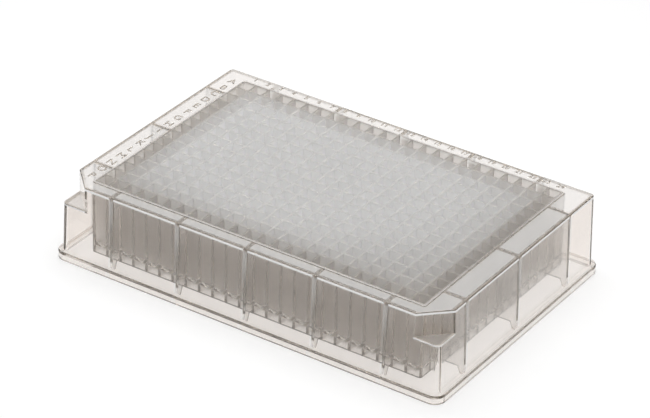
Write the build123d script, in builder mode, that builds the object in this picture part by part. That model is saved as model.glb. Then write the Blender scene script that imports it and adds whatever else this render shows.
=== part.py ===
from build123d import *
import os
from math import atan2, cos, degrees, radians, sqrt, tan

# A 384-well plate with square, pointed wells, moulded in one piece from clear polypropylene.
# All sizes are in millimetres. The plate stands on its flange on the plane z = 0, centred on
# the origin, with its long sides along X. Row A is on the +Y side, column 1 on the -X side.

# Overall
plate_length = 127.76
plate_width = 85.48
plate_height = 25.0

# Flange round the foot, open inside so that it drops over the deck of a plate below
flange_height = 2.6
flange_wall = 1.1
flange_corner_radius = 3.5
flange_edge_chamfer = 0.25
shelf_height = 1.4

# Skirt, drafted inward from its foot to the deck
skirt_wall = 1.05
skirt_foot_inset = 1.45
skirt_foot_radius = 2.05
skirt_top_inset = 2.15
skirt_inside_radius = 1.2

# Deck between the skirt and the block of wells
deck_height = 24.75
deck_thickness = 0.9
deck_edge_chamfer = 0.25

# Notches in the two corners at row P, one at column 1 and one at column 24
notch_leg = 7.6
notch_ledge_height = 17.5

# Shallow field for a label on the outside of the long side at row A
label_length = 64.2
label_centre = 13.1
label_depth = 0.35
label_low_edge = 5.0

# Wells. As many fit as leave these least widths clear inside the flange's outline
short_side_clear_width = 9.0
long_side_clear_width = 6.0
well_pitch = 4.5
well_mouth = 3.8
well_foot = 3.4
point_angle = 51.0
point_wall = 0.8

# Block that holds the wells
rim_wall = 1.0
block_corner_radius = 1.0
block_bottom = 2.5
block_foot_wall = 1.1

# Ribs between the block and the skirt
rib_thickness = 0.8
rib_gap_height = 3.5
rib_corner_radius = 0.8
rib_leg_width = 2.1
rib_foot_width = 1.4
long_side_rib_spacing = 22.5
long_side_rib_count = 5
short_side_rib_spacing = 27.0
short_side_rib_count = 3

# Worked out from the sizes above
half_length = plate_length / 2
half_width = plate_width / 2
column_count = int((half_length - short_side_clear_width) * 2 / well_pitch)
row_count = int((half_width - long_side_clear_width) * 2 / well_pitch)
deck_underside = deck_height - deck_thickness
block_half_length = ((column_count - 1) * well_pitch + well_mouth) / 2 + rim_wall
block_half_width = ((row_count - 1) * well_pitch + well_mouth) / 2 + rim_wall
slope = tan(radians(point_angle))
groove_depth = slope * well_pitch / 2
well_point = block_bottom + point_wall / cos(radians(point_angle))
well_shoulder = well_point + slope * well_foot / 2
notch_line = half_length + half_width - 2 * skirt_top_inset - notch_leg
skirt_draft = degrees(atan2(skirt_top_inset - skirt_foot_inset, deck_height - flange_height))


def skirt_inset(height):
    """How far the skirt's outer face stands in from the flange at a height."""
    rise = (height - flange_height) / (deck_height - flange_height)
    return skirt_foot_inset + rise * (skirt_top_inset - skirt_foot_inset)


def outline(inset, radius, height):
    """The plate's rounded outline at a height, drawn in from the flange by an inset."""
    with BuildSketch(Plane.XY.offset(height)) as section:
        RectangleRounded(plate_length - 2 * inset, plate_width - 2 * inset, radius)
    return section.sketch


def notch_prisms(wall, low):
    """What lies outside the two notch faces, with the faces moved in by a wall."""
    line = notch_line - wall * sqrt(2)
    with BuildPart() as prisms:
        with BuildSketch(Plane.XY.offset(low)):
            with BuildLine():
                Polyline(
                    (half_length, -half_width),
                    (half_length, half_length - line),
                    (line - half_width, -half_width),
                    close=True,
                )
            make_face()
            mirror(about=Plane.YZ)
        extrude(amount=plate_height - low)
    return prisms.part


def rib(plane, half_span, block_half):
    """A rib on a plane, from the block's wall to the skirt, with a leg down to the shelf."""
    root = block_half - rim_wall / 2
    top = deck_height - deck_thickness / 2
    gap_face = half_span - skirt_inset(rib_gap_height) - skirt_wall
    shelf_face = half_span - skirt_inset(shelf_height) - skirt_wall
    leg_corner = (gap_face - rib_leg_width, rib_gap_height)
    with BuildPart() as web:
        with BuildSketch(plane) as profile:
            with BuildLine():
                Polyline(
                    (root, rib_gap_height),
                    leg_corner,
                    (shelf_face - rib_foot_width, shelf_height),
                    (shelf_face + skirt_wall / 2, shelf_height),
                    (half_span - skirt_inset(top) - skirt_wall / 2, top),
                    (root, top),
                    close=True,
                )
            make_face()
            corner = profile.vertices().sort_by_distance(plane.from_local_coords(leg_corner))[0]
            fillet(corner, radius=rib_corner_radius)
        extrude(amount=rib_thickness / 2, both=True)
    return web.part


def groove(plane, length):
    """One groove of the underside, as deep as the floors are high, across a plane."""
    with BuildPart() as cut:
        with BuildSketch(plane):
            with BuildLine():
                Polyline(
                    (-well_pitch / 2, block_bottom),
                    (well_pitch / 2, block_bottom),
                    (0, block_bottom + groove_depth),
                    close=True,
                )
            make_face()
        extrude(amount=length / 2, both=True)
    return cut.part


def rib_places(count, spacing):
    """Distances of evenly spaced ribs from the middle of a side."""
    return [(number - (count - 1) / 2) * spacing for number in range(count)]


# The space inside the skirt, with the notch faces and their ledges standing into it
with BuildPart() as hollow:
    hollow_foot = outline(skirt_inset(shelf_height) + skirt_wall, skirt_inside_radius, shelf_height)
    extrude(hollow_foot, amount=deck_underside - shelf_height, taper=skirt_draft)
    add(notch_prisms(skirt_wall, notch_ledge_height - deck_thickness), mode=Mode.SUBTRACT)

# The label field, parallel to the drafted skirt
with BuildPart() as label_field:
    low_face = half_width - skirt_inset(label_low_edge)
    high_face = half_width - skirt_inset(plate_height)
    with BuildSketch(Plane.YZ.offset(label_centre - label_length / 2)):
        with BuildLine():
            Polyline(
                (low_face - label_depth, label_low_edge),
                (half_width, label_low_edge),
                (half_width, plate_height),
                (high_face - label_depth, plate_height),
                close=True,
            )
        make_face()
    extrude(amount=label_length)

# One well, where its two upright sections cross: drafted walls that end in a point
with BuildPart() as well:
    for plane, mode in ((Plane.XZ, Mode.ADD), (Plane.YZ, Mode.INTERSECT)):
        with BuildSketch(plane):
            with BuildLine():
                Polyline(
                    (-well_mouth / 2, plate_height),
                    (-well_foot / 2, well_shoulder),
                    (0, well_point),
                    (well_foot / 2, well_shoulder),
                    (well_mouth / 2, plate_height),
                    close=True,
                )
            make_face()
        extrude(amount=well_mouth / 2, both=True, mode=mode)

# Grooves under the wells. Where they cross they leave a pointed floor below each well
pocket_length = 2 * (block_half_length - block_foot_wall)
pocket_width = 2 * (block_half_width - block_foot_wall)
with BuildPart() as pocket:
    with GridLocations(well_pitch, well_pitch, column_count + 1, 1):
        add(groove(Plane.XZ, pocket_width))
    with GridLocations(well_pitch, well_pitch, 1, row_count + 1):
        add(groove(Plane.YZ, pocket_length))
    with BuildSketch(Plane.XY.offset(block_bottom)):
        Rectangle(pocket_length, pocket_width)
    extrude(amount=groove_depth, mode=Mode.INTERSECT)

# Flange
with BuildPart() as flange:
    extrude(outline(0, flange_corner_radius, 0), amount=flange_height)
    chamfer(flange.faces().sort_by(Axis.Z)[-1].edges(), length=flange_edge_chamfer)

with BuildPart() as plate:
    # Skirt and deck, with the two corners notched
    skirt_foot = outline(skirt_foot_inset, skirt_foot_radius, flange_height)
    extrude(skirt_foot, amount=deck_height - flange_height, taper=skirt_draft)
    add(notch_prisms(0, notch_ledge_height), mode=Mode.SUBTRACT)
    chamfer(plate.faces().sort_by(Axis.Z)[-1].edges(), length=deck_edge_chamfer)

    # Flange, then the space inside it and inside the skirt
    add(flange.part)
    add(hollow.part, mode=Mode.SUBTRACT)
    recess = outline(flange_wall, flange_corner_radius - flange_wall, 0)
    extrude(recess, amount=shelf_height, mode=Mode.SUBTRACT)
    add(label_field.part, mode=Mode.SUBTRACT)

    # Block of wells, a little higher than the deck, and the ribs
    with BuildSketch(Plane.XY.offset(block_bottom)):
        RectangleRounded(2 * block_half_length, 2 * block_half_width, block_corner_radius)
    extrude(amount=plate_height - block_bottom)
    for place in rib_places(long_side_rib_count, long_side_rib_spacing):
        for side in (-1, 1):
            add(rib(Plane((place, 0, 0), (0, side, 0), (side, 0, 0)), half_width, block_half_width))
    for place in rib_places(short_side_rib_count, short_side_rib_spacing):
        for side in (-1, 1):
            add(rib(Plane((0, place, 0), (side, 0, 0), (0, -side, 0)), half_length, block_half_length))

    # Wells and the pointed floors below them
    with GridLocations(well_pitch, well_pitch, column_count, row_count):
        add(well.part, mode=Mode.SUBTRACT)
    add(pocket.part, mode=Mode.SUBTRACT)

plate.part.label = "plate"
os.makedirs("parts", exist_ok=True)
export_step(plate.part, "parts/plate.step")
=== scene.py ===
import math

import bmesh
import bpy
from bpy.props import FloatProperty, FloatVectorProperty, IntProperty, PointerProperty
from bpy.types import Operator, Panel, PropertyGroup
from mathutils import Matrix, Vector


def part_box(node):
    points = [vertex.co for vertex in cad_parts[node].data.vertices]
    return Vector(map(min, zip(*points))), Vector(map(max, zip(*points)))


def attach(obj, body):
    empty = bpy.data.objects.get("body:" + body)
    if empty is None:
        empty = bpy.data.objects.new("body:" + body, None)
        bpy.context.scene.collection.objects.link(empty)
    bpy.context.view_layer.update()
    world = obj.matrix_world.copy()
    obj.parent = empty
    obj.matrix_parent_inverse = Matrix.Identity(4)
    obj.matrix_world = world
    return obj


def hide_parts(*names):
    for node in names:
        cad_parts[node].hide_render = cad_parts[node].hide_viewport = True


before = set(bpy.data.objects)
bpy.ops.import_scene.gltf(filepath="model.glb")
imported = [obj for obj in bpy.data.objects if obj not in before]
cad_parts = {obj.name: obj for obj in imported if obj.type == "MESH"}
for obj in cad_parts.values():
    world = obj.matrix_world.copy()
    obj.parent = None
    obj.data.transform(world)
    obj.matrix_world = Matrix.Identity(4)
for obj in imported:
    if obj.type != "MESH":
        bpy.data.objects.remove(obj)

bl_info = {
    "name": "Well plate",
    "version": (1, 0, 0),
    "blender": (4, 5, 0),
    "location": "View3D > Sidebar > Well plate",
    "description": "Dresses a moulded plate of 384 square wells and sets its stage",
    "category": "Add Mesh",
}

MM = 0.001

# Face attributes of the plate: how hazy and how rough each face is. The haze is partly the
# plastic's own and partly painted light: a pale pool over the wells, paler tops, bright bands
HAZE_AND_PAINTED_LIGHT = "bloom"
GRAIN = "grain"

# Points nearer than WELD are one. A place within SLACK of a plane lies on it, and a face within
# NEAR of a wall or an edge belongs to it. MID_WALL is half way through the block's own wall, and
# a wall further than APART from the block is one of the skirt or of a notched corner
WELD = MM / 1000
SLACK = MM / 100
NEAR = MM / 5
MID_WALL = MM / 2
APART = MM

# Edges that turn by more than SHARP are rounded, and faces that turn by less than FLAT are one
SHARP = math.radians(30)
FLAT = math.radians(0.3)

# Least upward share of a level face's normal, and greatest of an upright face's
UPWARD = 0.9
UPRIGHT = 0.3

# Size of the font over the height of its capitals, steps of its curves, and the gap below a letter
FONT_SIZE = 1.4
FONT_STEPS = 3
LETTER_GAP = MM / 100

# Half of the floor's side, how far it lies below the plate, and the roughness of its matt face
FLOOR_HALF_SIDE = 3.0
FLOOR_DROP = MM / 10
FLOOR_ROUGHNESS = 0.9

# Sines of the heights above the horizon between which the dome's light rises
SKY_FOOT, SKY_SHOULDER = 0.2, 0.55

# How often light may cross clear walls, pass transparent ones and leave matt faces
CLEAR_BOUNCES = 48
TRANSPARENT_BOUNCES = 64
MATT_BOUNCES = 24

# Degrees by which the camera stands round to the right, looks down and leans
CAMERA_TURN, CAMERA_RISE, CAMERA_ROLL = 32.901, 31.228, 1.770

# Distance of the camera from the place it looks at, height of that place, and nearest thing seen
CAMERA_DISTANCE = 902.4 * MM
CAMERA_AIM = 10 * MM
CAMERA_NEAREST = 10 * MM

# Focal length and sensor width in millimetres, and shifts of the lens as shares of that width
LENS = 178.8
SENSOR = 36
SHIFT_ACROSS, SHIFT_UP = -0.0045, 0.0364


# Colours and materials


def linear(code):
    """Linear RGB of an sRGB hex colour."""
    shares = [int(code[i : i + 2], 16) / 255 for i in (0, 2, 4)]
    return tuple(s / 12.92 if s <= 0.04045 else ((s + 0.055) / 1.055) ** 2.4 for s in shares)


def add_node(tree, kind, links=(), **settings):
    """Adds a node. Settings name its properties or its input sockets, and of two inputs with one
    name they mean the first. Links are (input, socket) pairs."""
    node = tree.nodes.new(kind)
    for name, value in settings.items():
        socket = name.replace("_", " ")
        if hasattr(node, name):
            setattr(node, name, value)
        else:
            node.inputs[socket].default_value = value
    for socket, source in links:
        tree.links.new(source, node.inputs[socket])
    return node


def new_material(name):
    """An empty node material, and its tree."""
    material = bpy.data.materials.new(name)
    material.use_nodes = True
    material.node_tree.nodes.clear()
    return material, material.node_tree


def moulded_polypropylene(finish):
    """Clear polypropylene, injection moulded in polished steel.

    The eye sees clear outer walls that take a little warm grey with depth. The walls of the wells
    are finely grained and milky, so that many of them one behind the other turn to an even pale
    grey. Their haze, and so their paleness, grows towards their mouths: painted light from above.
    The haze of each face also carries a painted pool of light and painted highlights.
    """
    material, tree = new_material("moulded_clear_polypropylene")
    bloom = add_node(tree, "ShaderNodeAttribute", attribute_name=HAZE_AND_PAINTED_LIGHT)
    side = add_node(tree, "ShaderNodeNewGeometry")
    facing = add_node(
        tree,
        "ShaderNodeMapRange",
        links=[(0, side.outputs["Backfacing"])],
        To_Min=1.0,
        To_Max=finish.inner_haze,
    )
    outward = add_node(
        tree,
        "ShaderNodeMath",
        links=[(0, bloom.outputs["Fac"]), (1, facing.outputs[0])],
        operation="MULTIPLY",
    )
    place = add_node(tree, "ShaderNodeTexCoord")
    height = add_node(tree, "ShaderNodeSeparateXYZ", links=[(0, place.outputs["Object"])])
    # Painted light from above: the haze, and so the paleness, of hazy faces falls from haze_top down to
    # haze_foot
    painted_top_light = add_node(
        tree,
        "ShaderNodeMapRange",
        links=[(0, height.outputs["Z"])],
        interpolation_type="SMOOTHSTEP",
        From_Min=finish.haze_foot,
        From_Max=finish.haze_top,
        To_Min=finish.haze_below,
        To_Max=finish.surface_haze,
    )
    # Haze of the face, with its painted light from above, painted pool of light and painted highlight
    # bands
    dull = add_node(
        tree,
        "ShaderNodeMath",
        links=[(0, outward.outputs[0]), (1, painted_top_light.outputs[0])],
        operation="MULTIPLY",
    )
    clear = add_node(
        tree,
        "ShaderNodeMath",
        links=[(1, dull.outputs[0])],
        operation="SUBTRACT",
        use_clamp=True,
        Value=1.0,
    )
    grained = add_node(
        tree,
        "ShaderNodeMix",
        links=[("Factor", side.outputs["Backfacing"])],
        data_type="RGBA",
        A=(*finish.bloom_colour, 1.0),
        B=(*finish.inner_colour, 1.0),
    )
    has_bloom = add_node(
        tree,
        "ShaderNodeMath",
        links=[(1, bloom.outputs["Fac"])],
        operation="LESS_THAN",
        Value=0.0,
    )
    tint = add_node(
        tree,
        "ShaderNodeMix",
        links=[("Factor", has_bloom.outputs[0]), ("B", grained.outputs["Result"])],
        data_type="RGBA",
        A=(*finish.surface_colour, 1.0),
    )
    texture = add_node(tree, "ShaderNodeAttribute", attribute_name=GRAIN)
    grain = add_node(
        tree,
        "ShaderNodeMapRange",
        links=[(0, texture.outputs["Fac"])],
        To_Min=finish.surface_roughness,
        To_Max=finish.well_roughness,
    )
    shader = add_node(
        tree,
        "ShaderNodeBsdfPrincipled",
        links=[
            ("Transmission Weight", clear.outputs[0]),
            ("Base Color", tint.outputs["Result"]),
            ("Roughness", grain.outputs[0]),
        ],
        IOR=finish.refraction,
    )
    depth = add_node(
        tree,
        "ShaderNodeVolumeAbsorption",
        Color=(*finish.depth_colour, 1.0),
        Density=finish.depth_density,
    )
    add_node(
        tree,
        "ShaderNodeOutputMaterial",
        links=[("Surface", shader.outputs[0]), ("Volume", depth.outputs[0])],
    )
    return material


def eroded_polypropylene(finish):
    """Clear polypropylene moulded against spark-eroded steel, as raised lettering is.

    The fine dull texture scatters light, so the strokes look pale grey on the clear deck.
    """
    material, tree = new_material("spark_eroded_polypropylene")
    shader = add_node(
        tree,
        "ShaderNodeBsdfPrincipled",
        Base_Color=(*finish.lettering_colour, 1.0),
        Roughness=finish.lettering_roughness,
        IOR=finish.refraction,
        Transmission_Weight=finish.lettering_clearness,
    )
    add_node(tree, "ShaderNodeOutputMaterial", links=[("Surface", shader.outputs[0])])
    return material


def opal_acrylic(stage):
    """Cast opal acrylic with a matt face, lit from below like a light table.

    It gives an even pale ground that is also seen through the clear plate.
    """
    material, tree = new_material("matt_opal_acrylic")
    shader = add_node(
        tree,
        "ShaderNodeBsdfPrincipled",
        Base_Color=(*stage.floor_colour, 1.0),
        Roughness=FLOOR_ROUGHNESS,
        Specular_IOR_Level=0.0,
        Emission_Color=(*stage.floor_colour, 1.0),
        Emission_Strength=stage.floor_glow,
    )
    add_node(tree, "ShaderNodeOutputMaterial", links=[("Surface", shader.outputs[0])])
    return material


# Sizes and finishes a user can change


class WellPlateSizes(PropertyGroup):
    """Sizes of the plate and of what the dressed plate adds, and where its plastic is hazy."""

    column_count: IntProperty(name="Columns", description="Wells along the plate", default=24, min=1)
    row_count: IntProperty(name="Rows", description="Wells across the plate", default=16, min=1)
    pitch: FloatProperty(
        name="Well pitch",
        description="Distance between the middles of two wells",
        default=4.5 * MM,
        unit="LENGTH",
        subtype="DISTANCE",
        precision=5,
    )
    mouth: FloatProperty(
        name="Well mouth",
        description="Side of a well's square mouth",
        default=3.8 * MM,
        unit="LENGTH",
        subtype="DISTANCE",
        precision=5,
    )
    cell: FloatProperty(
        name="Underside cell",
        description="Side of the square cell under each well",
        default=3.6 * MM,
        unit="LENGTH",
        subtype="DISTANCE",
        precision=5,
    )
    foot_height: FloatProperty(
        name="Foot of the block",
        description="Height of the lower face of the block of wells",
        default=2.5 * MM,
        unit="LENGTH",
        subtype="DISTANCE",
        precision=5,
    )
    groove_height: FloatProperty(
        name="Top of the grooves",
        description="Height of the grooves between the pointed floors",
        default=5.2785 * MM,
        unit="LENGTH",
        subtype="DISTANCE",
        precision=5,
    )
    block_half_length: FloatProperty(
        name="Half length of the block",
        description="From the middle of the plate to the block's short wall",
        default=54.65 * MM,
        unit="LENGTH",
        subtype="DISTANCE",
        precision=5,
    )
    block_half_width: FloatProperty(
        name="Half width of the block",
        description="From the middle of the plate to the block's long wall",
        default=36.65 * MM,
        unit="LENGTH",
        subtype="DISTANCE",
        precision=5,
    )
    # A painted pool of light: the wells are hazier, and so paler, round this point and less so further
    # out
    painted_pool_x: FloatProperty(
        name="Light pool X",
        description="Middle of the painted pool of light, along the plate",
        default=-10 * MM,
        unit="LENGTH",
        subtype="DISTANCE",
    )
    painted_pool_y: FloatProperty(
        name="Light pool Y",
        description="Middle of the painted pool of light, across the plate",
        default=8 * MM,
        unit="LENGTH",
        subtype="DISTANCE",
    )
    painted_pool_length: FloatProperty(
        name="Haze length",
        description="Distance from the middle of the painted pool, along the plate, at which the haze is least",
        default=90 * MM,
        unit="LENGTH",
        subtype="DISTANCE",
    )
    painted_pool_width: FloatProperty(
        name="Haze width",
        description="Distance from the middle of the painted pool, across the plate, at which the haze is least",
        default=60 * MM,
        unit="LENGTH",
        subtype="DISTANCE",
    )
    painted_pool_core: FloatProperty(
        name="Haze core",
        description="Share of that distance within which the haze is full",
        default=0.4,
        subtype="FACTOR",
    )
    edge_haze: FloatProperty(
        name="Haze far from the middle of the painted pool",
        description="Share of the haze left at the greatest distance from the middle of the painted pool",
        default=0.6,
        subtype="FACTOR",
    )
    rim_bloom: FloatProperty(
        name="Bloom of the rim",
        description="Haze of the rim, as a share of the haze of the wells",
        default=0.4,
        subtype="FACTOR",
    )
    deck_bloom: FloatProperty(
        name="Bloom of the deck",
        description="Haze of the deck, as a share of the haze of the wells",
        default=0.36,
        subtype="FACTOR",
    )
    skin: FloatProperty(
        name="Skin",
        description="Depth in from the block's wall to which the haze is least",
        default=1.0 * MM,
        unit="LENGTH",
        subtype="DISTANCE",
        precision=5,
    )
    core: FloatProperty(
        name="Core",
        description="Depth in from the block's wall from which the haze is full",
        default=9.0 * MM,
        unit="LENGTH",
        subtype="DISTANCE",
        precision=5,
    )
    skin_haze: FloatProperty(
        name="Haze of the skin",
        description="Share of the haze left in the outermost wells",
        default=0.2,
        subtype="FACTOR",
    )
    rib_grain: FloatProperty(
        name="Grain of the ribs",
        description="Roughness of the ribs, as a share of the roughness of the wells",
        default=0.3,
        subtype="FACTOR",
    )
    rib_bloom: FloatProperty(
        name="Bloom of the ribs",
        description="Haze of the ribs, as a share of the haze of the wells",
        default=0.3,
        subtype="FACTOR",
    )
    wall_bloom: FloatProperty(
        name="Bloom of the block",
        description="Haze of the block's outer walls, as a share of the haze of the wells",
        default=0.08,
        subtype="FACTOR",
    )
    # Painted light: the skirt's outer face before each rib is pale at the top and fades downwards
    rib_face_painted_light: FloatProperty(
        name="Painted light before the ribs",
        description="Painted light on the skirt outside the ribs, as a share of the haze of the wells",
        default=0.28,
        subtype="FACTOR",
    )
    thick_bloom: FloatProperty(
        name="Bloom of the thick places",
        description="Haze of the deck over the ribs and the skirt, as a share of the haze of the wells",
        default=0.07,
        subtype="FACTOR",
    )
    wall_x: FloatProperty(
        name="Inside of the short skirt",
        description="From the middle of the plate to the inner face of the short side of the skirt",
        default=60.7 * MM,
        unit="LENGTH",
        subtype="DISTANCE",
        precision=5,
    )
    wall_y: FloatProperty(
        name="Inside of the long skirt",
        description="From the middle of the plate to the inner face of the long side of the skirt",
        default=39.55 * MM,
        unit="LENGTH",
        subtype="DISTANCE",
        precision=5,
    )
    rib_thickness: FloatProperty(
        name="Rib thickness",
        description="Thickness of the ribs between the block and the skirt, at their feet",
        default=0.8 * MM,
        unit="LENGTH",
        subtype="DISTANCE",
        precision=5,
    )
    rib_root: FloatProperty(
        name="Rib root",
        description="Thickness of the drafted ribs where they meet the deck",
        default=1.4 * MM,
        unit="LENGTH",
        subtype="DISTANCE",
        precision=5,
    )
    deck_underside: FloatProperty(
        name="Underside of the deck",
        description="Height of the deck's lower face",
        default=23.85 * MM,
        unit="LENGTH",
        subtype="DISTANCE",
        precision=5,
    )
    long_rib_count: IntProperty(
        name="Ribs, long sides", description="Ribs on each long side", default=5, min=1
    )
    short_rib_count: IntProperty(
        name="Ribs, short sides", description="Ribs on each short side", default=3, min=1
    )
    long_rib_spacing: FloatProperty(
        name="Rib spacing, long sides",
        description="Distance between the middles of two ribs of a long side",
        default=22.5 * MM,
        unit="LENGTH",
        subtype="DISTANCE",
        precision=5,
    )
    short_rib_spacing: FloatProperty(
        name="Rib spacing, short sides",
        description="Distance between the middles of two ribs of a short side",
        default=27.0 * MM,
        unit="LENGTH",
        subtype="DISTANCE",
        precision=5,
    )
    # Painted highlight: a hazy band below the edge of the deck and below the ledges' edges stands in
    # for light the deck carries out
    edge_painted_highlight: FloatProperty(
        name="Painted highlight of the edge",
        description="Painted highlight of the band below the edge of the deck, as a share of the haze of the wells",
        default=1.1,
        subtype="FACTOR",
    )
    edge_band: FloatProperty(
        name="Foot of the edge band",
        description="Height of the foot of the band below the edge of the deck",
        default=23.9 * MM,
        unit="LENGTH",
        subtype="DISTANCE",
        precision=5,
    )
    ledge_height: FloatProperty(
        name="Ledge height",
        description="Height of the ledges in the two notched corners",
        default=17.5 * MM,
        unit="LENGTH",
        subtype="DISTANCE",
        precision=5,
    )
    # Foot of the painted highlight below each ledge's edge
    ledge_band: FloatProperty(
        name="Foot of the ledge band",
        description="Height of the foot of the bright band below the edge of a ledge",
        default=16.9 * MM,
        unit="LENGTH",
        subtype="DISTANCE",
        precision=5,
    )
    notch_line: FloatProperty(
        name="Notch line",
        description="Distance along the plate plus distance across it, at every place on a notch face",
        default=94.72 * MM,
        unit="LENGTH",
        subtype="DISTANCE",
        precision=5,
    )
    ledge_haze: FloatProperty(
        name="Bloom of the ledges",
        description="Haze of the ledges, as a share of the haze of the wells",
        default=0.1,
        subtype="FACTOR",
    )
    well_edge: FloatProperty(
        name="Well edge radius",
        description="Radius of the edges and upright corners of the wells",
        default=0.1 * MM,
        unit="LENGTH",
        subtype="DISTANCE",
        precision=5,
    )
    outer_edge: FloatProperty(
        name="Outer edge radius",
        description="Radius of the edges of the deck, skirt, ribs and flange",
        default=0.1 * MM,
        unit="LENGTH",
        subtype="DISTANCE",
        precision=5,
    )


class WellPlateLettering(PropertyGroup):
    """Sizes of the raised letters and numbers on the deck."""

    letter_height: FloatProperty(
        name="Letter height",
        description="Height of the row letters",
        default=2.6 * MM,
        unit="LENGTH",
        subtype="DISTANCE",
        precision=5,
    )
    number_height: FloatProperty(
        name="Number height",
        description="Height of the column numbers",
        default=1.7 * MM,
        unit="LENGTH",
        subtype="DISTANCE",
        precision=5,
    )
    relief: FloatProperty(
        name="Relief",
        description="How far the lettering stands up from the deck",
        default=0.12 * MM,
        unit="LENGTH",
        subtype="DISTANCE",
        precision=5,
    )
    deck_height: FloatProperty(
        name="Deck height",
        description="Height of the deck's upper face",
        default=24.75 * MM,
        unit="LENGTH",
        subtype="DISTANCE",
        precision=5,
    )
    letter_line: FloatProperty(
        name="Line of letters",
        description="Distance of the row letters from the middle of the plate",
        default=56.8 * MM,
        unit="LENGTH",
        subtype="DISTANCE",
        precision=5,
    )
    number_line: FloatProperty(
        name="Line of numbers",
        description="Distance of the column numbers from the middle of the plate",
        default=38.5 * MM,
        unit="LENGTH",
        subtype="DISTANCE",
        precision=5,
    )


class WellPlateFinish(PropertyGroup):
    """Colours, haze and roughness of the plastic."""

    surface_colour: FloatVectorProperty(
        name="Surface colour",
        description="Colour of the light that a clear face lets through",
        default=linear("F7F3F0"),
        subtype="COLOR",
        min=0,
        max=1,
    )
    bloom_colour: FloatVectorProperty(
        name="Bloom colour",
        description="Colour of the faces that scatter light",
        default=linear("F9F9F9"),
        subtype="COLOR",
        min=0,
        max=1,
    )
    inner_colour: FloatVectorProperty(
        name="Inner colour",
        description="Colour of the light that leaves the plastic through a hazy face",
        default=linear("DAD7D4"),
        subtype="COLOR",
        min=0,
        max=1,
    )
    surface_roughness: FloatProperty(
        name="Surface roughness", description="Roughness of the polished faces", default=0.06
    )
    well_roughness: FloatProperty(
        name="Well roughness", description="Roughness of the walls of the wells", default=0.3
    )
    inner_haze: FloatProperty(
        name="Inner haze",
        description="Haze met from inside the plastic, as a share of the haze met from the air",
        default=0.12,
        subtype="FACTOR",
    )
    surface_haze: FloatProperty(
        name="Surface haze",
        description="Share of the light that a well's wall scatters near its mouth",
        default=0.95,
        subtype="FACTOR",
    )
    # Painted light from above: the wells are paler near their mouths and darker lower down
    haze_top: FloatProperty(
        name="Top of the haze",
        description="Height on the wells above which the haze is full",
        default=22 * MM,
        unit="LENGTH",
        subtype="DISTANCE",
    )
    haze_foot: FloatProperty(
        name="Foot of the haze",
        description="Height on the wells below which the haze is least",
        default=10 * MM,
        unit="LENGTH",
        subtype="DISTANCE",
    )
    haze_below: FloatProperty(
        name="Least haze",
        description="Share of the light that the lower walls of the wells scatter",
        default=0.02,
        subtype="FACTOR",
    )
    refraction: FloatProperty(
        name="Refractive index", description="Refractive index of polypropylene", default=1.49
    )
    depth_colour: FloatVectorProperty(
        name="Depth colour",
        description="Colour that the plastic takes with depth",
        default=linear("E7E3DD"),
        subtype="COLOR",
        min=0,
        max=1,
    )
    depth_density: FloatProperty(
        name="Depth density", description="How fast the plastic takes its depth colour", default=100.0
    )
    lettering_colour: FloatVectorProperty(
        name="Lettering colour",
        description="Colour of the dull faces of the lettering",
        default=linear("D8D2CA"),
        subtype="COLOR",
        min=0,
        max=1,
    )
    lettering_roughness: FloatProperty(
        name="Lettering roughness", description="Roughness of the lettering", default=0.45
    )
    lettering_clearness: FloatProperty(
        name="Lettering clearness",
        description="Share of the light that passes through the lettering",
        default=0.9,
        subtype="FACTOR",
    )


class WellPlateStage(PropertyGroup):
    """Floor and light."""

    floor_colour: FloatVectorProperty(
        name="Floor colour",
        description="Colour of the opal floor",
        default=linear("AAAAAA"),
        subtype="COLOR",
        min=0,
        max=1,
    )
    floor_glow: FloatProperty(
        name="Floor glow", description="Light that the floor gives of its own", default=1.55
    )
    sky_colour: FloatVectorProperty(
        name="Sky colour",
        description="Colour of the light from the dome and the softbox",
        default=linear("FFFFFF"),
        subtype="COLOR",
        min=0,
        max=1,
    )
    box_x: FloatProperty(
        name="Softbox X",
        description="Where the softbox hangs along the plate",
        default=-20 * MM,
        unit="LENGTH",
        subtype="DISTANCE",
    )
    box_y: FloatProperty(
        name="Softbox Y",
        description="Where the softbox hangs across the plate",
        default=30 * MM,
        unit="LENGTH",
        subtype="DISTANCE",
    )
    box_height: FloatProperty(
        name="Softbox height",
        description="Height of the softbox above the floor",
        default=230 * MM,
        unit="LENGTH",
        subtype="DISTANCE",
    )
    box_length: FloatProperty(
        name="Softbox length",
        description="Longer side of the softbox",
        default=160 * MM,
        unit="LENGTH",
        subtype="DISTANCE",
    )
    box_width: FloatProperty(
        name="Softbox width",
        description="Shorter side of the softbox",
        default=120 * MM,
        unit="LENGTH",
        subtype="DISTANCE",
    )
    box_power: FloatProperty(
        name="Softbox power",
        description="Power of the softbox",
        default=0.25,
        unit="POWER",
    )
    sky_low: FloatProperty(
        name="Low sky", description="Light of the dome near the ground", default=0.28
    )
    sky_high: FloatProperty(
        name="High sky", description="Light of the dome from half way up to overhead", default=0.8
    )


# Shapes


def add_piece(name, mesh_data, material):
    """Puts a mesh in the scene as a piece of the plate."""
    piece = bpy.data.objects.new(name, mesh_data)
    bpy.context.scene.collection.objects.link(piece)
    piece.data.materials.append(material)
    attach(piece, "root")
    return piece


def outward_distance(place, sizes):
    """How far a place lies outside the block of wells. It is negative inside."""
    return max(abs(place.x) - sizes.block_half_length, abs(place.y) - sizes.block_half_width)


def cell_centres(sizes):
    """Middles of the wells, row by row."""
    for row in range(sizes.row_count):
        for column in range(sizes.column_count):
            yield (
                (column - (sizes.column_count - 1) / 2) * sizes.pitch,
                (row - (sizes.row_count - 1) / 2) * sizes.pitch,
            )


def square(bm, centre, side, height):
    """Four corner vertices of a square, anticlockwise seen from above."""
    half = side / 2
    return [
        bm.verts.new((centre[0] + x * half, centre[1] + y * half, height))
        for x, y in ((-1, -1), (1, -1), (1, 1), (-1, 1))
    ]


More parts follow.
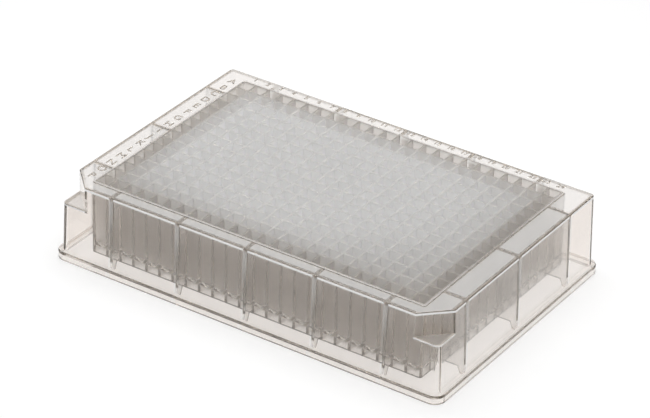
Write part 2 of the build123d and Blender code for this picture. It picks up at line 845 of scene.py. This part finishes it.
def join_rings(bm, outer, inner, flip):
    """Four faces between two squares of vertices."""
    for i in range(4):
        j = (i + 1) % 4
        corners = [outer[i], outer[j], inner[j], inner[i]]
        bm.faces.new(corners[::-1] if flip else corners)


def delete_faces(bm, wanted):
    """Deletes the faces that a test wants, and the vertices that nothing else needs."""
    doomed = [face for face in bm.faces if wanted(face)]
    bmesh.ops.delete(bm, geom=doomed, context="FACES")


def is_between_field_and_outline(edge, sizes, height):
    """Whether an edge lies at a height, outside the grid of mouths and inside the block."""
    field_half_length = sizes.column_count * sizes.pitch / 2
    field_half_width = sizes.row_count * sizes.pitch / 2
    return all(
        abs(v.co.z - height) < SLACK
        and (abs(v.co.x) > field_half_length - SLACK or abs(v.co.y) > field_half_width - SLACK)
        and outward_distance(v.co, sizes) < SLACK
        for v in edge.verts
    )


def face_around_mouths(bm, sizes, side, height, upward):
    """A flat face of the block with a square mouth at each well, out to the block's outline."""
    frames = []
    for centre in cell_centres(sizes):
        outer = square(bm, centre, sizes.pitch, height)
        inner = square(bm, centre, side, height)
        join_rings(bm, outer, inner, flip=not upward)
        frames += outer
    bmesh.ops.remove_doubles(bm, verts=frames, dist=WELD)
    ring = [e for e in bm.edges if e.is_boundary and is_between_field_and_outline(e, sizes, height)]
    normal = (0, 0, 1 if upward else -1)
    bmesh.ops.triangle_fill(bm, edges=ring, use_beauty=True, normal=normal)


def open_underside(bm, sizes):
    """Cuts a square cell under each well, round the point of its floor."""
    low, high = sizes.foot_height, sizes.groove_height
    rise = (high - low) * sizes.cell / sizes.pitch
    delete_faces(
        bm,
        lambda face: all(
            low - SLACK < v.co.z < high + SLACK and outward_distance(v.co, sizes) < SLACK
            for v in face.verts
        ),
    )
    face_around_mouths(bm, sizes, sizes.cell, low, upward=False)
    for centre in cell_centres(sizes):
        mouth = square(bm, centre, sizes.cell, low)
        root = square(bm, centre, sizes.cell, low + rise)
        point = bm.verts.new((*centre, low))
        join_rings(bm, mouth, root, flip=False)
        for i in range(4):
            bm.faces.new((root[i], root[(i + 1) % 4], point))


def is_well_edge(edge, sizes, top):
    """Whether an edge is a mouth, an upright corner of a well or the block's outer rim."""
    in_block = all(outward_distance(v.co, sizes) < SLACK for v in edge.verts)
    return in_block and any(abs(v.co.z - top) < WELD for v in edge.verts)


def is_outer_edge(edge, sizes, top):
    """Whether an edge is a convex one of the block's wall, the deck, skirt, ribs or flange."""
    in_wells = all(outward_distance(v.co, sizes) < -MID_WALL for v in edge.verts)
    return edge.is_convex and not in_wells and all(v.co.z < top - NEAR for v in edge.verts)


def soften(bm, edges, radius):
    """Rounds edges."""
    bmesh.ops.bevel(
        bm,
        geom=edges,
        offset=radius,
        offset_type="OFFSET",
        affect="EDGES",
        segments=2,
        profile=0.5,
        clamp_overlap=False,
        material=-1,
    )


def sharp_edges(bm, wanted):
    """Sharp edges that a test wants."""
    return [
        e
        for e in bm.edges
        if len(e.link_faces) == 2 and e.calc_face_angle() > SHARP and wanted(e)
    ]


def smooth_step(value, low, high):
    """0 below a range, 1 above it and a smooth rise between."""
    share = min(max((value - low) / (high - low), 0.0), 1.0)
    return share * share * (3 - 2 * share)


def mix(share, start, end):
    """A value part of the way from a start to an end."""
    return start + share * (end - start)


def well_haze_and_light_pool(place, sizes):
    """Haze of the wells at a place: full round the middle of a painted pool of light, less far from
    it and in the outermost wells.
    """
    along = (place.x - sizes.painted_pool_x) / sizes.painted_pool_length
    across = (place.y - sizes.painted_pool_y) / sizes.painted_pool_width
    far = smooth_step(math.hypot(along, across), sizes.painted_pool_core, 1.0)
    deep = smooth_step(-outward_distance(place, sizes), sizes.skin, sizes.core)
    return mix(far, 1.0, sizes.edge_haze) * mix(deep, sizes.skin_haze, 1.0)


def rib_side(place, sizes):
    """Whether a place lies on a long side, and its distance from the middle of the nearest rib."""
    on_long_side = abs(place.y) > sizes.block_half_width - SLACK
    along = place.x if on_long_side else place.y
    spacing = sizes.long_rib_spacing if on_long_side else sizes.short_rib_spacing
    count = sizes.long_rib_count if on_long_side else sizes.short_rib_count
    last = (count - 1) / 2
    nearest = min(max(round(along / spacing + last), 0), count - 1) - last
    return on_long_side, along - nearest * spacing


def deck_finish(face, middle, outside, sizes):
    """How hazy and how rough a face of the deck or of the band below its edge is. The band's haze
    is a painted highlight.
    """
    over_rib = abs(rib_side(middle, sizes)[1]) < sizes.rib_root / 2
    if face.normal.z > UPWARD:
        over_skirt = abs(middle.x) > sizes.wall_x or abs(middle.y) > sizes.wall_y
        return (sizes.thick_bloom if over_rib or over_skirt else sizes.deck_bloom), 0.0
    # The upright band below the deck's edge, away from the ribs, takes a painted highlight
    lit = abs(face.normal.z) < UPRIGHT and outside > NEAR and not over_rib
    return (sizes.edge_painted_highlight if lit else 0.0), 0.0


def finish_of(face, sizes, top):
    """How hazy and how rough a face is."""
    middle = face.calc_center_median()
    outside = outward_distance(middle, sizes)
    if outside < -MID_WALL:
        rim = middle.z > top - NEAR
        return well_haze_and_light_pool(middle, sizes) * (sizes.rim_bloom if rim else 1.0), 1.0
    if middle.z > sizes.edge_band:
        return deck_finish(face, middle, outside, sizes)
    if abs(middle.x) + abs(middle.y) > sizes.notch_line and middle.z > sizes.ledge_band:
        if face.normal.z > UPWARD and abs(middle.z - sizes.ledge_height) < NEAR:
            return sizes.ledge_haze, 1.0
        # The upright band below a ledge's edge takes the same painted highlight
        if abs(face.normal.z) < UPRIGHT and middle.z < sizes.ledge_height:
            return sizes.edge_painted_highlight, 0.0
    if abs(outside) < NEAR and abs(face.normal.z) < UPRIGHT:
        return sizes.wall_bloom, 0.0
    on_long_side, off = rib_side(middle, sizes)
    across = abs(face.normal.y if on_long_side else face.normal.x) > UPWARD
    # The skirt's outer face before a rib takes painted light, pale at the top and fading downwards
    if across and is_outer_wall(face, sizes) and abs(off) < sizes.rib_root / 2:
        return sizes.rib_face_painted_light, 0.0
    beside = abs(face.normal.x if on_long_side else face.normal.y) > UPWARD
    at_corner = abs(middle.x) > sizes.block_half_length and abs(middle.y) > sizes.block_half_width
    if beside and outside > NEAR and not at_corner:
        return sizes.rib_bloom, sizes.rib_grain
    return 0.0, 0.0


def draft_ribs(bm, sizes):
    """Thickens the ribs towards the deck, as they have to be to leave the mould."""
    half = sizes.rib_thickness / 2
    for v in bm.verts:
        if outward_distance(v.co, sizes) < -SLACK or v.co.z > sizes.deck_underside + SLACK:
            continue
        on_long_side, off = rib_side(v.co, sizes)
        if abs(abs(off) - half) > SLACK:
            continue
        growth = (sizes.rib_root - sizes.rib_thickness) / 2 * v.co.z / sizes.deck_underside
        shift = math.copysign(growth, off)
        v.co += Vector((shift, 0, 0) if on_long_side else (0, shift, 0))


def cut(bm, faces, place, normal):
    """Splits faces along a plane."""
    edges = {e for f in faces for e in f.edges}
    corners = {v for f in faces for v in f.verts}
    bmesh.ops.bisect_plane(
        bm, geom=[*faces, *edges, *corners], plane_co=place, plane_no=normal, dist=WELD
    )


def is_past_block(face, sizes):
    """Whether all of a face lies outside the block of wells."""
    return all(outward_distance(v.co, sizes) > -SLACK for v in face.verts)


def is_outer_wall(face, sizes):
    """Whether a face is upright and turned outward, on the skirt or on a notched corner."""
    middle = face.calc_center_median()
    return (
        abs(face.normal.z) < UPRIGHT
        and face.normal.dot(middle) > 0
        and is_past_block(face, sizes)
        and outward_distance(middle, sizes) > APART
    )


def rib_planes(sizes):
    """The upright planes of the ribs' sides at the deck, as (place, normal) pairs."""
    rows = (
        (sizes.long_rib_count, sizes.long_rib_spacing, Vector((1, 0, 0))),
        (sizes.short_rib_count, sizes.short_rib_spacing, Vector((0, 1, 0))),
    )
    for count, spacing, normal in rows:
        for number in range(count):
            for side in (-sizes.rib_root / 2, sizes.rib_root / 2):
                yield ((number - (count - 1) / 2) * spacing + side) * normal, normal


def cut_deck(bm, sizes):
    """Splits the deck over the ribs and the skirt, and the outer walls outside the ribs, which take
    painted light, and at the foot of each painted highlight band."""
    for height in (sizes.edge_band, sizes.ledge_band):
        walls = [f for f in bm.faces if is_outer_wall(f, sizes)]
        cut(bm, walls, (0, 0, height), (0, 0, 1))
    skirt_planes = [
        (side * distance * axis, axis)
        for distance, axis in ((sizes.wall_x, Vector((1, 0, 0))), (sizes.wall_y, Vector((0, 1, 0))))
        for side in (-1, 1)
    ]
    for place, normal in (*skirt_planes, *rib_planes(sizes)):
        upper = [
            f
            for f in bm.faces
            if is_outer_wall(f, sizes)
            or all(v.co.z > sizes.edge_band - 2 * SLACK for v in f.verts)
            and is_past_block(f, sizes)
        ]
        cut(bm, upper, place, normal)


def order_faces(bm):
    """Sorts the faces by their corners, because rounding the edges leaves their order to chance."""
    bm.verts.index_update()
    count = len(bm.verts)

    def rank(face):
        first, second, third = sorted(v.index for v in face.verts)[:3]
        return (first * count + second) * count + third

    bm.faces.sort(key=rank)


def plate_mesh(sizes):
    """The solid's mesh with cells under its wells, drafted ribs and rounded edges."""
    bm = bmesh.new()
    bm.from_mesh(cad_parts["plate"].data)
    bmesh.ops.remove_doubles(bm, verts=bm.verts, dist=WELD)
    bmesh.ops.dissolve_limit(bm, angle_limit=FLAT, verts=bm.verts, edges=bm.edges)
    draft_ribs(bm, sizes)
    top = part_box("plate")[1].z
    delete_faces(bm, lambda face: all(abs(v.co.z - top) < WELD for v in face.verts))
    face_around_mouths(bm, sizes, sizes.mouth, top, upward=True)
    open_underside(bm, sizes)
    bmesh.ops.remove_doubles(bm, verts=bm.verts, dist=WELD)
    bmesh.ops.connect_verts_concave(bm, faces=bm.faces)
    bmesh.ops.recalc_face_normals(bm, faces=bm.faces)

    soften(bm, sharp_edges(bm, lambda e: is_well_edge(e, sizes, top)), sizes.well_edge)
    soften(bm, sharp_edges(bm, lambda e: is_outer_edge(e, sizes, top)), sizes.outer_edge)
    cut_deck(bm, sizes)
    order_faces(bm)
    bloom = bm.faces.layers.float.new(HAZE_AND_PAINTED_LIGHT)
    grain = bm.faces.layers.float.new(GRAIN)
    for face in bm.faces:
        face.smooth = True
        face[bloom], face[grain] = finish_of(face, sizes, top)
    for e in bm.edges:
        e.smooth = len(e.link_faces) == 2 and e.calc_face_angle() < SHARP
    data = bpy.data.meshes.new("plate_moulding")
    bm.to_mesh(data)
    bm.free()
    return data


def lettering_mesh(name, marks, height, sizes):
    """Raised words on the deck. Marks are (text, x, y)."""
    middle = sizes.deck_height + sizes.relief / 2 + LETTER_GAP
    bm = bmesh.new()
    for text, x, y in marks:
        curve = bpy.data.curves.new(name, "FONT")
        curve.body = text
        curve.align_x = "CENTER"
        curve.align_y = "CENTER"
        curve.size = height * FONT_SIZE
        curve.extrude = sizes.relief / 2
        curve.resolution_u = FONT_STEPS
        carrier = bpy.data.objects.new(name, curve)
        letter = bpy.data.meshes.new_from_object(carrier)
        letter.transform(Matrix.Translation((x, y, middle)))
        bm.from_mesh(letter)
        bpy.data.objects.remove(carrier)
        bpy.data.curves.remove(curve)
        bpy.data.meshes.remove(letter)
    bmesh.ops.remove_doubles(bm, verts=bm.verts, dist=WELD)
    data = bpy.data.meshes.new(name)
    bm.to_mesh(data)
    bm.free()
    return data


# Stage


def lay_floor(stage):
    """A broad plain floor just under the plate."""
    half = FLOOR_HALF_SIDE
    data = bpy.data.meshes.new("floor")
    corners = [(x * half, y * half, -FLOOR_DROP) for x, y in ((-1, -1), (1, -1), (1, 1), (-1, 1))]
    data.from_pydata(corners, [], [(0, 1, 2, 3)])
    floor = bpy.data.objects.new("floor", data)
    bpy.context.scene.collection.objects.link(floor)
    data.materials.append(opal_acrylic(stage))


def light_room(scene, stage):
    """A dome of pale silk, a softbox, and bounces enough to cross many clear walls."""
    world = bpy.data.worlds.new("silk_dome")
    world.use_nodes = True
    scene.world = world
    tree = world.node_tree
    place = add_node(tree, "ShaderNodeTexCoord")
    height = add_node(tree, "ShaderNodeSeparateXYZ", links=[(0, place.outputs["Generated"])])
    shade = add_node(tree, "ShaderNodeValToRGB", links=[(0, height.outputs["Z"])])
    steps = shade.color_ramp.elements
    most = max(stage.sky_low, stage.sky_high)
    for sine, glow in ((SKY_FOOT, stage.sky_low), (SKY_SHOULDER, stage.sky_high)):
        steps.new(sine).color = (*(glow / most * c for c in stage.sky_colour), 1.0)
    steps.remove(steps[0])
    steps.remove(steps[-1])
    sky = tree.nodes["Background"]
    tree.links.new(shade.outputs["Color"], sky.inputs["Color"])
    sky.inputs["Strength"].default_value = most
    lamp = bpy.data.lights.new("softbox", "AREA")
    lamp.shape = "RECTANGLE"
    lamp.size, lamp.size_y = stage.box_length, stage.box_width
    lamp.energy = stage.box_power
    lamp.color = stage.sky_colour
    softbox = bpy.data.objects.new("softbox", lamp)
    softbox.location = (stage.box_x, stage.box_y, stage.box_height)
    scene.collection.objects.link(softbox)
    cycles = scene.cycles
    cycles.max_bounces = CLEAR_BOUNCES
    cycles.transmission_bounces = CLEAR_BOUNCES
    cycles.glossy_bounces = CLEAR_BOUNCES
    cycles.transparent_max_bounces = TRANSPARENT_BOUNCES
    cycles.diffuse_bounces = MATT_BOUNCES
    cycles.blur_glossy = 0.0


def place_camera():
    """A long lens that looks down on the plate's front right."""
    turn, rise, roll = (math.radians(a) for a in (CAMERA_TURN, CAMERA_RISE, CAMERA_ROLL))
    back = Vector(
        (math.sin(turn) * math.cos(rise), -math.cos(turn) * math.cos(rise), math.sin(rise))
    )
    level = Vector((math.cos(turn), math.sin(turn), 0))
    upright = back.cross(level)
    across = math.cos(roll) * level + math.sin(roll) * upright
    up = math.cos(roll) * upright - math.sin(roll) * level
    pose = Matrix((across, up, back)).transposed().to_4x4()
    pose.translation = Vector((0, 0, CAMERA_AIM)) + CAMERA_DISTANCE * back
    camera = bpy.data.objects.new("camera", bpy.data.cameras.new("camera"))
    camera.matrix_world = pose
    camera.data.sensor_fit = "HORIZONTAL"
    camera.data.sensor_width = SENSOR
    camera.data.lens = LENS
    camera.data.shift_x = SHIFT_ACROSS
    camera.data.shift_y = SHIFT_UP
    camera.data.clip_start = CAMERA_NEAREST
    bpy.context.scene.collection.objects.link(camera)
    return camera


# Operators


class WELLPLATE_OT_mould_plate(Operator):
    """Make the plate with its rounded edges and open underside"""

    bl_idname = "wellplate.mould_plate"
    bl_label = "Mould the plate"

    def execute(self, context):
        scene = context.scene
        material = moulded_polypropylene(scene.well_plate_finish)
        piece = add_piece("plate_moulding", plate_mesh(scene.well_plate_sizes), material)
        normals = piece.modifiers.new("flat_faces", "WEIGHTED_NORMAL")
        normals.keep_sharp = True
        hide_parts("plate")
        return {"FINISHED"}


class WELLPLATE_OT_mould_lettering(Operator):
    """Put the row letters and column numbers on the deck"""

    bl_idname = "wellplate.mould_lettering"
    bl_label = "Mould the lettering"

    def execute(self, context):
        scene = context.scene
        sizes, words = scene.well_plate_sizes, scene.well_plate_lettering
        material = eroded_polypropylene(scene.well_plate_finish)
        rows = [
            (chr(ord("A") + i), -words.letter_line, ((sizes.row_count - 1) / 2 - i) * sizes.pitch)
            for i in range(sizes.row_count)
        ]
        columns = [
            (str(i + 1), (i - (sizes.column_count - 1) / 2) * sizes.pitch, words.number_line)
            for i in range(sizes.column_count)
        ]
        add_piece(
            "row_letters", lettering_mesh("row_letters", rows, words.letter_height, words), material
        )
        add_piece(
            "column_numbers",
            lettering_mesh("column_numbers", columns, words.number_height, words),
            material,
        )
        return {"FINISHED"}


class WELLPLATE_OT_set_stage(Operator):
    """Lay the floor, hang the lights and place the camera"""

    bl_idname = "wellplate.set_stage"
    bl_label = "Set the stage"

    def execute(self, context):
        scene = context.scene
        stage = scene.well_plate_stage
        lay_floor(stage)
        light_room(scene, stage)
        scene.camera = place_camera()
        scene.view_settings.view_transform = "Standard"
        return {"FINISHED"}


class WELLPLATE_PT_sidebar(Panel):
    """Sizes, finishes and the steps that make the plate"""

    bl_idname = "WELLPLATE_PT_sidebar"
    bl_label = "Well plate"
    bl_space_type = "VIEW_3D"
    bl_region_type = "UI"
    bl_category = "Well plate"

    def draw(self, context):
        for title, (place, group) in GROUPS.items():
            box = self.layout.box()
            box.label(text=title)
            settings = getattr(context.scene, place)
            for name in group.__annotations__:
                box.prop(settings, name)
        for step in STEPS:
            self.layout.operator(step.bl_idname)


GROUPS = {
    "Sizes": ("well_plate_sizes", WellPlateSizes),
    "Lettering": ("well_plate_lettering", WellPlateLettering),
    "Finish": ("well_plate_finish", WellPlateFinish),
    "Stage": ("well_plate_stage", WellPlateStage),
}
STEPS = (WELLPLATE_OT_mould_plate, WELLPLATE_OT_mould_lettering, WELLPLATE_OT_set_stage)


def register():
    for place, group in GROUPS.values():
        bpy.utils.register_class(group)
        setattr(bpy.types.Scene, place, PointerProperty(type=group))
    for step in (*STEPS, WELLPLATE_PT_sidebar):
        bpy.utils.register_class(step)


def unregister():
    for step in (WELLPLATE_PT_sidebar, *reversed(STEPS)):
        bpy.utils.unregister_class(step)
    for place, group in reversed(GROUPS.values()):
        delattr(bpy.types.Scene, place)
        bpy.utils.unregister_class(group)


def main():
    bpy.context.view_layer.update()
    register()
    bpy.ops.wellplate.mould_plate()
    bpy.ops.wellplate.mould_lettering()
    bpy.ops.wellplate.set_stage()
    bpy.context.view_layer.update()


if __name__ == "__main__":
    main()
